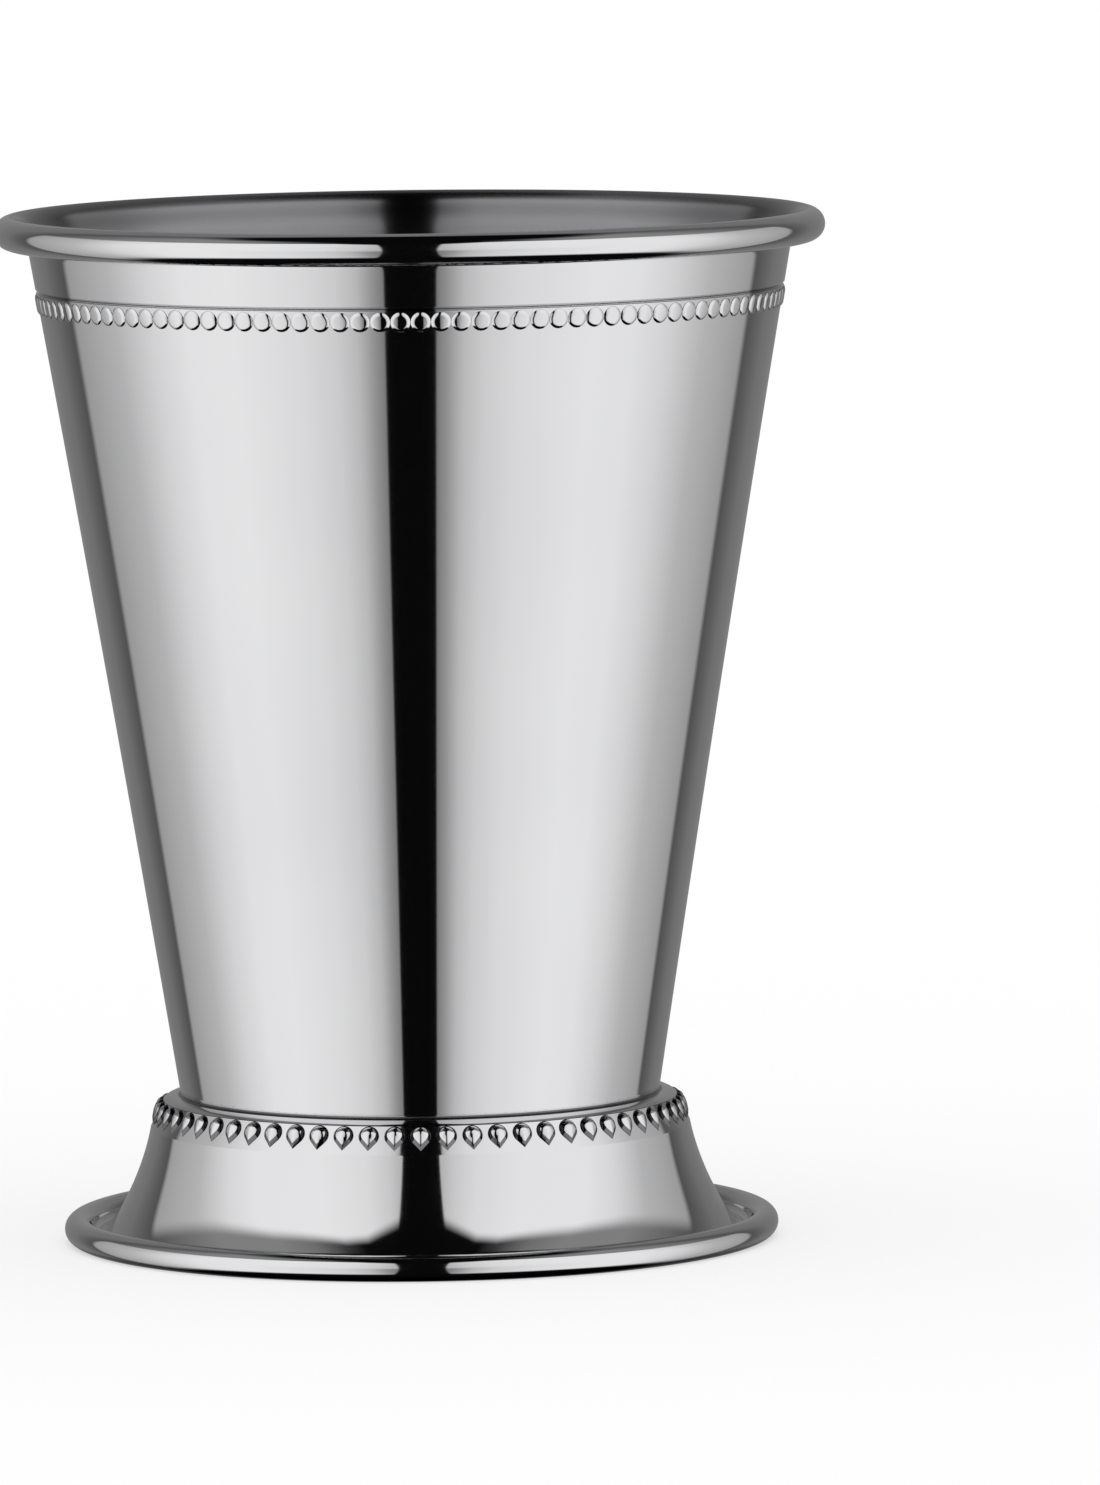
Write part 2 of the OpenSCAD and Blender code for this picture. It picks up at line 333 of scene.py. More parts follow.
@dataclass(frozen=True)
class SteelFinish:
    """One finish of the cup's metal.

    Faint polishing lines run round the cup, and a long soft wave bends its reflections a little,
    as rolling and buffing leave them on thin sheet. The tint drifts with the same wave.
    """

    name: str
    polish: Polish
    tint: str
    worn_tint: str
    roughness: float
    roughness_swing: float
    line_pitch: float
    line_depth: float
    wave_pitch: float
    wave_depth: float
    line_detail: float = 3.0
    wave_detail: float = 1.0
    # Painted shade in creases: how far apart their sides may be, or 0 for none, and how open a
    # place is, from 0 to 1, where the painted shade starts and where it is full
    crease_reach: float = 0.0
    crease_start: float = 0.62
    crease_full: float = 0.36
    crease_shade_tint: str = "#2A2A2C"
    crease_samples: int = 8
    # How much more reflections blur across the lines than along them, from 0 to 1
    stretch: float = 0.0

    def material(self) -> bpy.types.Material:
        """Builds the finish's material.

        Returns:
            The material, which is built only once.
        """
        if self.name in bpy.data.materials:
            return bpy.data.materials[self.name]
        made = bpy.data.materials.new(self.name)
        made.use_nodes = True
        tree = made.node_tree
        tree.nodes.clear()
        place = add_node(tree, "ShaderNodeTexCoord").outputs["Object"]
        lines = self.lines(tree, place)
        wave = add_node(tree, "ShaderNodeTexNoise", {
            "Vector": place, "Scale": 1 / self.wave_pitch, "Detail": self.wave_detail,
        }).outputs["Fac"]
        rough = add_node(tree, "ShaderNodeMapRange", {
            "Value": lines,
            "To Min": self.roughness - self.roughness_swing,
            "To Max": self.roughness + self.roughness_swing,
        }).outputs["Result"]
        tint = add_node(tree, "ShaderNodeMix", {
            "Factor": wave, MIX_A: linear(self.tint), MIX_B: linear(self.worn_tint),
        }, data_type="RGBA").outputs[MIX_RESULT]
        # Painted shade: the tint darkens where the surface is less open
        if self.crease_reach:
            tint = self.paint_crease_shade(tree, tint)
        waved = add_node(
            tree, "ShaderNodeBump", {"Height": wave, "Distance": self.wave_depth}
        ).outputs["Normal"]
        lined = add_node(tree, "ShaderNodeBump", {
            "Height": lines, "Distance": self.line_depth, "Normal": waved,
        }).outputs["Normal"]
        metal = add_node(tree, "ShaderNodeBsdfPrincipled", {
            "Base Color": tint, "Metallic": 1.0, "Roughness": rough, "Normal": lined,
            "Anisotropic": self.stretch, "Anisotropic Rotation": QUARTER_TURN,
        })
        if self.stretch:
            around = add_node(tree, "ShaderNodeTangent", direction_type="RADIAL", axis="Z")
            tree.links.new(around.outputs["Tangent"], metal.inputs["Tangent"])
        add_node(tree, "ShaderNodeOutputMaterial", {"Surface": metal.outputs["BSDF"]})
        return made

    def paint_crease_shade(self, tree: Tree, tint: Socket) -> Socket:
        """Paints shade into the tint in tight creases, by how open each place is.

        Args:
            tree: The material's tree.
            tint: The tint of the open surface.

        Returns:
            The tint with painted shade in its creases.
        """
        openness = add_node(
            tree, "ShaderNodeAmbientOcclusion", {"Distance": self.crease_reach},
            samples=self.crease_samples,
        ).outputs["AO"]
        depth = add_node(tree, "ShaderNodeMapRange", {
            "Value": openness, "From Min": self.crease_start, "From Max": self.crease_full,
        }, interpolation_type="SMOOTHSTEP").outputs["Result"]
        return add_node(tree, "ShaderNodeMix", {
            "Factor": depth, MIX_A: tint, MIX_B: linear(self.crease_shade_tint),
        }, data_type="RGBA").outputs[MIX_RESULT]

    def lines(self, tree: Tree, place: Socket) -> Socket:
        """Adds a noise drawn out round the cup's axis.

        Args:
            tree: The material's tree.
            place: The object coordinates.

        Returns:
            The noise, from 0 to 1.
        """
        axes = add_node(tree, "ShaderNodeSeparateXYZ", {"Vector": place}).outputs
        flat = add_node(tree, "ShaderNodeCombineXYZ", {"X": axes["X"], "Y": axes["Y"]})
        reach = add_node(
            tree, "ShaderNodeVectorMath", {0: flat.outputs[0]}, operation="LENGTH"
        ).outputs["Value"]
        turn = add_node(
            tree, "ShaderNodeMath", {0: axes["Y"], 1: axes["X"]}, operation="ARCTAN2"
        ).outputs[0]
        stretched = add_node(
            tree, "ShaderNodeMath", {0: turn, 1: self.polish.value * MM}, operation="MULTIPLY"
        ).outputs[0]
        unrolled = add_node(
            tree, "ShaderNodeCombineXYZ", {"X": reach, "Y": stretched, "Z": axes["Z"]}
        ).outputs[0]
        return add_node(tree, "ShaderNodeTexNoise", {
            "Vector": unrolled, "Scale": 1 / self.line_pitch, "Detail": self.line_detail,
        }).outputs["Fac"]


# Bright steel, buffed to a mirror: reflections stay sharp and keep a neutral grey.
# Its creases and corners get painted shade.
MIRROR = SteelFinish(
    name="buffed_bright_steel", polish=Polish.BUFFED, tint="#E6E6E7", worn_tint="#DEDEE0",
    roughness=0.045, roughness_swing=0.012, line_pitch=0.35 * MM, line_depth=0.00002 * MM,
    wave_pitch=26 * MM, wave_depth=0.006 * MM, crease_reach=1.4 * MM,
)
# The bead strips have the same polish, with painted shade in the finer creases between their
# beads.
BEADED = replace(
    MIRROR, name="buffed_beaded_steel", roughness=0.05, crease_reach=0.12 * MM
)
# Painted shade round each drop's foot: a dark, slightly blurred copy of the steel.
PAINTED_SHADE = SteelFinish(
    name="painted_shade_steel", polish=Polish.BUFFED, tint="#343436", worn_tint="#28282A",
    roughness=0.12, roughness_swing=0.03, line_pitch=0.35 * MM, line_depth=0.00005 * MM,
    wave_pitch=6 * MM, wave_depth=0.002 * MM,
)
# Lighter painted shade beside the drops' tails: a dulled copy of the steel.
PAINTED_HALF_SHADE = SteelFinish(
    name="painted_half_shade_steel", polish=Polish.BUFFED, tint="#808082", worn_tint="#747476",
    roughness=0.08, roughness_swing=0.02, line_pitch=0.35 * MM, line_depth=0.00004 * MM,
    wave_pitch=6 * MM, wave_depth=0.002 * MM,
)
# The same steel inside the cup, left as it was spun: much darker, and its fine lines round the
# cup blur what it reflects up and down, but hardly sideways.
SATIN = SteelFinish(
    name="spun_dark_steel", polish=Polish.SPUN, tint="#99999B", worn_tint="#8F8F91",
    roughness=0.20, roughness_swing=0.03, line_pitch=0.5 * MM, line_depth=0.00005 * MM,
    wave_pitch=22 * MM, wave_depth=0.01 * MM, stretch=1.0,
)
# Wire drawn through a die: dull grey, with fine lines along it.
WIRE = SteelFinish(
    name="drawn_steel_wire", polish=Polish.DRAWN, tint="#A6A6A8", worn_tint="#98989A",
    roughness=0.32, roughness_swing=0.06, line_pitch=0.2 * MM, line_depth=0.002 * MM,
    wave_pitch=8 * MM, wave_depth=0.004 * MM,
)
# Silver solder, wiped while hot: softer than the steel, and dulled by flux and old polish.
SOLDER = SteelFinish(
    name="wiped_silver_solder", polish=Polish.BUFFED, tint="#7C7C7D", worn_tint="#5E5E60",
    roughness=0.22, roughness_swing=0.06, line_pitch=0.4 * MM, line_depth=0.0006 * MM,
    wave_pitch=3 * MM, wave_depth=0.012 * MM,
)


def dress(piece: bpy.types.Object, finish: SteelFinish, slot: str, *nodes: str) -> None:
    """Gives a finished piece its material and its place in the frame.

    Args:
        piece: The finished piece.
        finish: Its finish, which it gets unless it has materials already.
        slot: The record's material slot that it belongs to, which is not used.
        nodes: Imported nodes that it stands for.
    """
    if not piece.data.materials:
        piece.data.materials.append(finish.material())
    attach(piece, "root")
    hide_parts(*nodes)
    LOG.info("%s: %d faces in %s", piece.name, len(piece.data.polygons), finish.name)


def lay_wire(name: str, node: str, centre: Vector, radius: float, segments: int) -> None:
    """Makes the ring of round wire inside a rolled edge.

    Args:
        name: Name of the new piece.
        node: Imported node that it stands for.
        centre: Middle of the wire's round section.
        radius: Radius of that section.
        segments: Number of steps round the cup's axis.
    """
    ring = arc(centre, radius, 0, 2 * HALF_TURN, WIRE_STEPS, Metal.INSIDE)[:-1]
    wire = turn_on_lathe(name, [s.point for s in ring], segments)
    smooth(wire)
    dress(wire, WIRE, "wire", node)


def run_solder(
    name: str, node: str, corner: Vector, a: Vector, b: Vector, segments: int
) -> None:
    """Makes a run of solder with a hollow face in a corner.

    Args:
        name: Name of the new piece.
        node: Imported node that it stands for.
        corner: The corner.
        a: End of the run along one side.
        b: End of the run along the other.
        segments: Number of steps round the cup's axis.
    """
    pull = a.lerp(b, 0.5).lerp(corner, 1 - SOLDER_PULL)
    face = []
    for i in range(SOLDER_STEPS + 1):
        u = i / SOLDER_STEPS
        face.append((1 - u) ** 2 * a + 2 * u * (1 - u) * pull + u * u * b)
    solder = turn_on_lathe(name, [corner] + face, segments)
    smooth(solder)
    dress(solder, SOLDER, "solder", node)


@dataclass
class StripSeat:
    """The straight shallow recess that holds a strip."""

    upper: Vector
    lower: Vector

    def strip(self, top_gap: float, foot_gap: float) -> "StripSeat":
        """Places the back of the strip in the recess.

        Args:
            top_gap: Height left free above the strip.
            foot_gap: Height left free below it.

        Returns:
            The ends of the strip's back.
        """
        return StripSeat(
            on_line(self.upper, self.lower, self.upper.y - top_gap),
            on_line(self.upper, self.lower, self.lower.y + foot_gap),
        )

    def outward(self) -> Vector:
        """Returns the unit direction out of the recess."""
        return -right_of(self.lower - self.upper)

    def span(self) -> float:
        """Returns the distance between the two ends."""
        return (self.lower - self.upper).length


@dataclass
class CupBody:
    """The tapered wall with its rolled rim, and the wire inside the rim."""

    # Outside of the wall at its waist, where it meets the foot, and its length in the collar
    waist_r: float = 26.9 * MM
    waist_z: float = 16.5 * MM
    collar_h: float = 2.6 * MM
    wall_t: float = 0.7 * MM
    # How far the middle of the wall is drawn in, and the height over the waist in which a
    # straight line stands for it
    bow: float = 0.2 * MM
    straight_h: float = 10 * MM
    # Radius of the rim's roll, and where the neck lies inside and under it
    roll_r: float = 1.8 * MM
    lip_step: float = 0.3 * MM
    lip_h: float = 2.4 * MM
    # Angles at which the lip runs into the curl and at which the curl ends
    lip_turn: float = 160.0
    curl_end: float = -140.0
    lip_pulls: tuple[float, float] = (0.35, 0.35)
    # The bead strip: its middle under the rim, its height and thickness, and the groove above
    bead_drop: float = 9.75 * MM
    strip_h: float = 2.4 * MM
    strip_t: float = 0.3 * MM
    groove: float = 0.12 * MM
    wall_step: float = 2.5 * MM
    brow_steps: int = 4
    lip_steps: int = 16
    curl_steps: int = 72
    segments: int = 256
    sharp_edge: float = 25.0

    def __post_init__(self) -> None:
        """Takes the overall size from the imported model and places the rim."""
        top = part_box("body_wall")[1]
        self.rim_c = Vector((top.x - self.roll_r, top.z - self.roll_r))
        self.neck = Vector((top.x - 2 * self.roll_r - self.lip_step, self.rim_c.y - self.lip_h))
        self.bead_z = top.z - self.bead_drop

    def share(self, height: float) -> float:
        """Returns how far up the wall a height lies, from 0 at the waist to 1 at the neck."""
        return (height - self.waist_z) / (self.neck.y - self.waist_z)

    def radius(self, height: float) -> float:
        """Returns the wall's outside radius at a height."""
        u = self.share(height)
        return self.waist_r + (self.neck.x - self.waist_r) * u - 4 * self.bow * u * (1 - u)

    def rise(self, height: float) -> Vector:
        """Returns the wall's upward direction at a height."""
        gain = self.neck.x - self.waist_r - 4 * self.bow * (1 - 2 * self.share(height))
        return Vector((gain, self.neck.y - self.waist_z)).normalized()

    def station(self, height: float) -> Station:
        """Returns the wall's station at a height."""
        return Station(Vector((self.radius(height), height)), -right_of(self.rise(height)))

    def low_line(self, depth: float) -> list[Vector]:
        """Returns two points of the straight line over the waist, at a depth in the wall."""
        heights = (self.waist_z, self.waist_z + self.straight_h)
        return [self.station(z).at(depth) for z in heights]

    def channel(self) -> StripSeat:
        """Places the recess of the bead strip.

        Returns:
            The ends of its straight back.
        """
        ends = (
            self.bead_z + self.strip_h / 2 + self.groove,
            self.bead_z - self.strip_h / 2 - STRIP_GAP,
        )
        upper, lower = (Vector((self.radius(z) - self.strip_t, z)) for z in ends)
        return StripSeat(upper, lower)

    def strip_line(self) -> StripSeat:
        """Returns the ends of the bead strip's back."""
        return self.channel().strip(self.groove, STRIP_GAP)

    def outline(self) -> list[Vector]:
        """Draws the closed section of the wall.

        Returns:
            Its points, from its foot up the outside, round the rim and down the inside.
        """
        channel = self.channel()
        brow = channel.upper.y + self.strip_t
        below = [self.waist_z - self.collar_h, self.waist_z]
        while below[-1] + self.wall_step < channel.lower.y:
            below.append(below[-1] + self.wall_step)
        above = [
            brow + (self.neck.y - brow) * i / self.brow_steps for i in range(1, self.brow_steps)
        ]
        curl_r = self.roll_r - self.wall_t
        lip = sweep(
            self.neck, self.rise(self.neck.y),
            self.rim_c + curl_r * heading(self.lip_turn), right_of(heading(self.lip_turn)),
            self.lip_pulls, self.lip_steps, Metal.INSIDE,
        )
        curl = arc(
            self.rim_c, curl_r, self.lip_turn, self.curl_end, self.curl_steps, Metal.OUTSIDE
        )
        low = [self.station(z) for z in below]
        high = [self.station(z) for z in above] + lip + curl[1:]
        recess = [
            self.station(channel.lower.y).point, channel.lower,
            channel.upper, self.station(brow).point,
        ]
        outer = [s.point for s in low] + recess + [s.point for s in high]
        inner = [s.at(self.wall_t) for s in reversed(low + high)]
        return outer + inner

    def build(self) -> None:
        """Makes the wall, which is bright outside and spun inside, and the rim's wire."""
        wall = turn_on_lathe("cup_wall", self.outline(), self.segments)
        smooth(wall, self.sharp_edge)
        finishes = (MIRROR, SATIN)
        for finish in finishes:
            wall.data.materials.append(finish.material())
        for face in wall.data.polygons:
            out = Vector((face.center.x, face.center.y, 0)).normalized()
            inside = face.normal.dot(out) < 0
            under_rim = face.center.z > self.neck.y and face.normal.z < 0
            finish = SATIN if inside and not under_rim else MIRROR
            face.material_index = finishes.index(finish)
        dress(wall, MIRROR, "polished_wall", "body_wall")
        wire_r = self.roll_r - self.wall_t - WIRE_GAP
        lay_wire("rim_wire_ring", "rim_wire", self.rim_c, wire_r, self.segments)


@dataclass
class CupFloor:
    """The floor with its turned-down edge, and the run of solder round it."""

    body: CupBody
    # Height of its top over the waist
    rise: float = 0.7 * MM
    thickness: float = 0.8 * MM
    # Reach of the solder along the floor and up the wall
    fillet: float = 0.8 * MM
    top_steps: int = 3
    segments: int = 192

    def build(self) -> None:
        """Makes the floor and its solder."""
        body = self.body
        foot = body.station(body.waist_z - body.collar_h).at(body.wall_t)
        waist, higher = body.low_line(body.wall_t)
        top = body.waist_z + self.rise
        edge = on_line(waist, higher, top)
        under = Vector((waist.x - self.thickness, top - self.thickness))
        outline = [Vector((edge.x * i / self.top_steps, top)) for i in range(self.top_steps)]
        outline += [edge, waist, foot, foot - Vector((self.thickness, 0)), under]
        outline += [Vector((edge.x / 2, under.y)), Vector((0, under.y))]
        floor = turn_on_lathe("cup_floor", outline, self.segments)
        smooth(floor)
        dress(floor, SATIN, "satin_floor", "body_floor")
        run_solder(
            "floor_solder_run", "floor_solder", edge, edge - Vector((self.fillet, 0)),
            on_line(waist, higher, top + self.fillet), self.segments,
        )


@dataclass
class CupFoot:
    """The hollow foot with its shoulder, flare and channel, and the wire in its edge."""

    body: CupBody
    sheet_t: float = 0.9 * MM
    # The shoulder: how far outside the waist its middle lies, and its radius
    shoulder_set: float = 0.4 * MM
    shoulder_r: float = 2.75 * MM
    # How far the flare leans out at its top and at its end, from upright
    flare_top_lean: float = 11.0
    flare_lean: float = 42.0
    flare_pulls: tuple[float, float] = (0.38, 0.22)
    # The channel inside the rolled edge: its radius, and its sheet's height over the table
    channel_r: float = 0.9 * MM
    channel_lift: float = 0.15 * MM
    # The rolled edge: its radius, the angle at which it ends, and what is ground off below
    roll_r: float = 1.55 * MM
    curl_end: float = -112.0
    flat: float = 0.05 * MM
    # The drop strip's recess: its top under the waist, its height, lean and depth
    drop_drop: float = 0.5 * MM
    seat_h: float = 3.1 * MM
    seat_lean: float = 25.0
    seat_t: float = 0.2 * MM
    solder_h: float = 0.3 * MM
    shoulder_steps: int = 12
    flare_steps: int = 40
    channel_steps: int = 20
    curl_steps: int = 72
    segments: int = 256

    def __post_init__(self) -> None:
        """Takes the foot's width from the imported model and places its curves."""
        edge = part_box("foot_shell")[1].x
        self.top = Vector((self.body.waist_r, self.body.waist_z))
        self.roll_c = Vector((edge - self.roll_r, self.roll_r - self.flat))
        height = self.channel_lift + self.sheet_t + self.channel_r
        drop = height - self.roll_c.y
        reach = sqrt((self.roll_r + self.channel_r) ** 2 - drop**2)
        self.channel_c = Vector((self.roll_c.x - reach, height))
        self.channel_turn = degrees(atan2(drop, reach))
        self.shoulder_c = self.top + Vector((self.shoulder_set, -self.shoulder_r))
        up = self.shoulder_r - self.drop_drop
        self.seat_turn = degrees(asin(up / self.shoulder_r))
        self.seat_a = self.shoulder_c + self.shoulder_r * heading(self.seat_turn)
        lean = tan(radians(self.seat_lean))
        self.seat_b = self.seat_a + self.seat_h * Vector((lean, -1))

    def seat(self) -> StripSeat:
        """Returns the recess of the drop strip."""
        inward = -heading(self.seat_lean)
        return StripSeat(self.seat_a + self.seat_t * inward, self.seat_b + self.seat_t * inward)

    def strip_line(self) -> StripSeat:
        """Returns the ends of the drop strip's back, which closes the seam below it."""
        return self.seat().strip(STRIP_GAP, 0.0)

    def outline(self) -> list[Vector]:
        """Draws the closed section of the foot.

        Returns:
            Its points, from its top edge down the outside, round the roll, up the inside and
            round the collar.
        """
        shoulder = arc(
            self.shoulder_c, self.shoulder_r, 90, self.seat_turn, self.shoulder_steps,
            Metal.INSIDE,
        )
        flare = sweep(
            self.seat_b, -heading(90 + self.flare_top_lean),
            self.channel_c - self.channel_r * heading(self.flare_lean),
            -heading(90 + self.flare_lean), self.flare_pulls, self.flare_steps, Metal.OUTSIDE,
        )
        channel = arc(
            self.channel_c, self.channel_r, HALF_TURN + self.flare_lean,
            2 * HALF_TURN - self.channel_turn, self.channel_steps, Metal.OUTSIDE,
        )
        curl = arc(
            self.roll_c, self.roll_r, HALF_TURN - self.channel_turn, self.curl_end,
            self.curl_steps, Metal.INSIDE,
        )
        lower = flare[1:] + channel[1:] + curl[1:]
        seat = self.seat()
        outer = [self.top] + [s.point for s in shoulder] + [seat.upper, seat.lower, self.seat_b]
        outer += [s.point for s in lower]
        seat_in = -heading(self.seat_lean)
        corner_a = Station(self.seat_a, (shoulder[-1].inward + seat_in).normalized())
        corner_b = Station(self.seat_b, (flare[0].inward + seat_in).normalized())
        inner = [s.at(self.sheet_t) for s in reversed([corner_a, corner_b] + lower)]
        # The shoulder's inside starts where the seat's inside ends
        turned = [
            s.at(self.sheet_t) for s in reversed(shoulder)
            if s.at(self.sheet_t).x < inner[-1].x
        ]
        collar_foot = self.body.station(self.body.waist_z - self.body.collar_h).point
        inside = collar_foot + Vector((self.sheet_t, 0))
        bend = Vector((inside.x, self.top.y - self.sheet_t))
        points = outer + inner + turned + [bend, inside, collar_foot]
        # What would reach under the table is ground flat
        return [Vector((p.x, max(p.y, 0.0))) for p in points]

    def build(self) -> None:
        """Makes the foot, its wire and the run of solder on it."""
        foot = turn_on_lathe("cup_foot", self.outline(), self.segments)
        smooth(foot)
        dress(foot, MIRROR, "polished_foot", "foot_shell")
        wire_r = self.roll_r - self.sheet_t - WIRE_GAP
        lay_wire("foot_wire_ring", "foot_wire", self.roll_c, wire_r, self.segments)
        _, higher = self.body.low_line(0.0)
        run_solder(
            "joint_solder_run", "joint_solder", self.top,
            on_line(self.top, higher, self.top.y + self.solder_h),
            self.top + Vector((self.solder_h, 0)), self.segments,
        )


@dataclass(kw_only=True)
class BeadStrip:
    """A strip of repeated raised shapes that lies in its recess round the cup."""

    name: str
    node: str
    line: StripSeat
    thickness: float
    pitch: float
    width: float
    # A bead's rounded edge: its radius, and its slope at the strip in degrees
    edge_r: float
    edge_turn: float
    # How far a tail's point lies from the bead's middle, or 0 for a round bead, and how far the
    # top lies from the middle towards the tail
    tail: float = 0.0
    crest: float = 0.0
    # Rings of faces round a bead's foot that get painted shade, and the distance from its middle,
    # towards the tail, past which that painted shade is lighter
    shaded_rings: int = 0
    full_shade_reach: float = 0.0
    # A bead's straight edge, and the hair gap that lifts it off the strip
    wall: float = 0.015 * MM
    lift: float = 0.02 * MM
    corners: int = 20
    rings: int = 3
    # Slope of the innermost ring, as a share of the slope at the strip
    top_share: float = 0.1
    segments: int = 192
    sharp_edge: float = 50.0

    def __post_init__(self) -> None:
        """Works out which way the strip faces and how many beads it carries."""
        self.out = self.line.outward()
        self.count = round(tau * self.face_point(0.5).x / self.pitch)

    def finishes(self) -> tuple[SteelFinish, ...]:
        """Returns the strip's finishes, in the order of its material slots."""
        # The second and third finishes are painted shade
        return (BEADED, PAINTED_SHADE, PAINTED_HALF_SHADE) if self.shaded_rings else (BEADED,)

    def face_point(self, share: float) -> Vector:
        """Returns the point of the strip's face at a share of the way down."""
        back = self.line.upper.lerp(self.line.lower, share)
        return back + (self.thickness + self.lift) * self.out

    def reach(self, turn: float) -> float:
        """Measures the bead's outline.

        Args:
            turn: Angle from the bead's tail, in radians.

        Returns:
            The outline's distance from the bead's middle.
        """
        head = self.width / 2
        if not self.tail:
            return head
        side = acos(head / self.tail)
        return head / cos(max(side - turn, 0.0))

    def profile(self) -> list[tuple[float, float]]:
        """Works out the rings of the bead's rounded edge.

        Returns:
            The size of each, as a share of the outline, and its height, going inwards.
        """
        head = self.width / 2
        foot = radians(self.edge_turn)
        turns = [foot * (1 - i / self.rings) for i in range(self.rings)] + [foot * self.top_share]
        return [
            (1 - self.edge_r * (sin(foot) - sin(t)) / head,
             self.wall + self.edge_r * (cos(t) - cos(foot)))
            for t in turns
        ]

    def blank(self) -> bpy.types.Object:
        """Cuts a bead's blank, with its middle at the origin and its tail towards +X.

        Returns:
            The flat blank, as high as the bead's straight edge.
        """
        deselect_all()
        bpy.ops.mesh.primitive_cylinder_add(
            vertices=self.corners, radius=self.width / 2, depth=self.wall, end_fill_type="NGON",
            location=(0, 0, self.wall / 2),
        )
        piece = bpy.context.object
        piece.name = piece.data.name = self.name + "_bead"
        bpy.ops.object.transform_apply(location=True, rotation=False, scale=False)
        for vertex in piece.data.vertices:
            flat = Vector((vertex.co.x, vertex.co.y, 0))
            turn = abs(atan2(flat.y, flat.x))
            vertex.co += flat * (self.reach(turn) / flat.length - 1)
        return piece

    def round_off(self, piece: bpy.types.Object) -> None:
        """Rounds a blank's edge, with rings of faces that rise to its low top.

        Args:
            piece: The blank.
        """
        bpy.ops.object.mode_set(mode="EDIT")
        bpy.ops.mesh.select_mode(type="FACE")
        mesh = bmesh.from_edit_mesh(piece.data)
        for face in mesh.faces:
            face.select = face.normal.z > FACING_UP
        bmesh.update_edit_mesh(piece.data)
        profile = self.profile()
        for (size, height), (next_size, next_height) in zip(profile, profile[1:]):
            share = next_size / size
            bpy.ops.mesh.inset(thickness=0)
            bpy.ops.transform.resize(
                value=(share, share, 1), center_override=(self.crest, 0, height)
            )
            bpy.ops.transform.translate(value=(0, 0, next_height - height))
        bpy.ops.object.mode_set(mode="OBJECT")

    def paint_shade(self, piece: bpy.types.Object) -> None:
        """Paints shade on the faces round a bead's foot, lighter towards the tail.

        Args:
            piece: The bead, before it is seated.
        """
        edge = self.profile()[self.shaded_rings][1]
        for face in piece.data.polygons:
            if face.center.z < edge:
                finish = PAINTED_SHADE if face.center.x < self.full_shade_reach else PAINTED_HALF_SHADE
                face.material_index = self.finishes().index(finish)

    def bead(self) -> bpy.types.Object:
        """Models one bead on the strip's face, in the plane y = 0.

        Returns:
            The bead. A round one lies in the middle of the strip, and the head of one with a
            tail reaches up to its edge.
        """
        piece = self.blank()
        self.round_off(piece)
        if self.shaded_rings:
            self.paint_shade(piece)
        share = self.width / 2 / self.line.span() if self.tail else 0.5
        spot = self.face_point(share)
        lean = Matrix.Rotation(pi / 2 - atan2(self.out.y, self.out.x), 4, "Y")
        piece.data.transform(Matrix.Translation((spot.x, 0, spot.y)) @ lean)
        return piece

    def build(self) -> None:
        """Makes the strip with its beads as one piece."""
        face = [p + self.thickness * self.out for p in (self.line.lower, self.line.upper)]
        band = turn_on_lathe(self.name, [self.line.upper, self.line.lower, *face], self.segments)
        bead = self.bead()
        for finish in self.finishes():
            band.data.materials.append(finish.material())
            bead.data.materials.append(finish.material())
        join(band, ring_of(bead, self.count))
        smooth(band, self.sharp_edge)
        dress(band, BEADED, "beading", self.node)


@dataclass(kw_only=True)
class RimBeads(BeadStrip):
    """The strip of small round beads under the rim."""

    name: str = "rim_bead_strip"
    node: str = "upper_bead_strip"
    pitch: float = 2.22 * MM
    width: float = 2.2 * MM
    edge_r: float = 0.66 * MM
    edge_turn: float = 45.0


@dataclass(kw_only=True)
class FootDrops(BeadStrip):
    """The strip of pointed drops on the foot's shoulder, domed up to their tops."""

    name: str = "foot_drop_row"
    node: str = "foot_drop_strip"
    pitch: float = 2.9 * MM
    width: float = 2.3 * MM
    edge_r: float = 1.501 * MM
    edge_turn: float = 50.0
    tail: float = 1.7 * MM
    crest: float = -0.35 * MM
    # Painted shade on the outer ring of each drop
    shaded_rings: int = 1
    full_shade_reach: float = 0.6 * MM


@dataclass(frozen=True)
class Ray:
    """The direction of a ray from the cup, as outputs of the world's nodes."""

    # How far it points to a side, whichever, from 0 to 1
    aside: Socket
    # 1 where it points away from the camera's side
    away: Socket
    # Angle round the cup from the camera's side, from 0 to 1 for half a turn
    half: Socket
    # Angle over the level, in radians
    height: Socket

    def level(self, tree: Tree, stops: Stops) -> Socket:
        """Adds a level that changes with the angle round the cup.

        Args:
            tree: The world's tree.
            stops: Angles in degrees, with the level there, from 0 to half a turn.

        Returns:
            The level, as a grey.
        """
        ramp = add_node(tree, "ShaderNodeValToRGB", {"Fac": self.half})
        marks = ramp.color_ramp.elements
        marks[0].position, marks[1].position = 0.0, 1.0
        for angle, _ in stops[1:-1]:
            marks.new(angle / HALF_TURN)
        for mark, (_, level) in zip(marks, stops):
            mark.color = grey(level)
        return ramp.outputs["Color"]


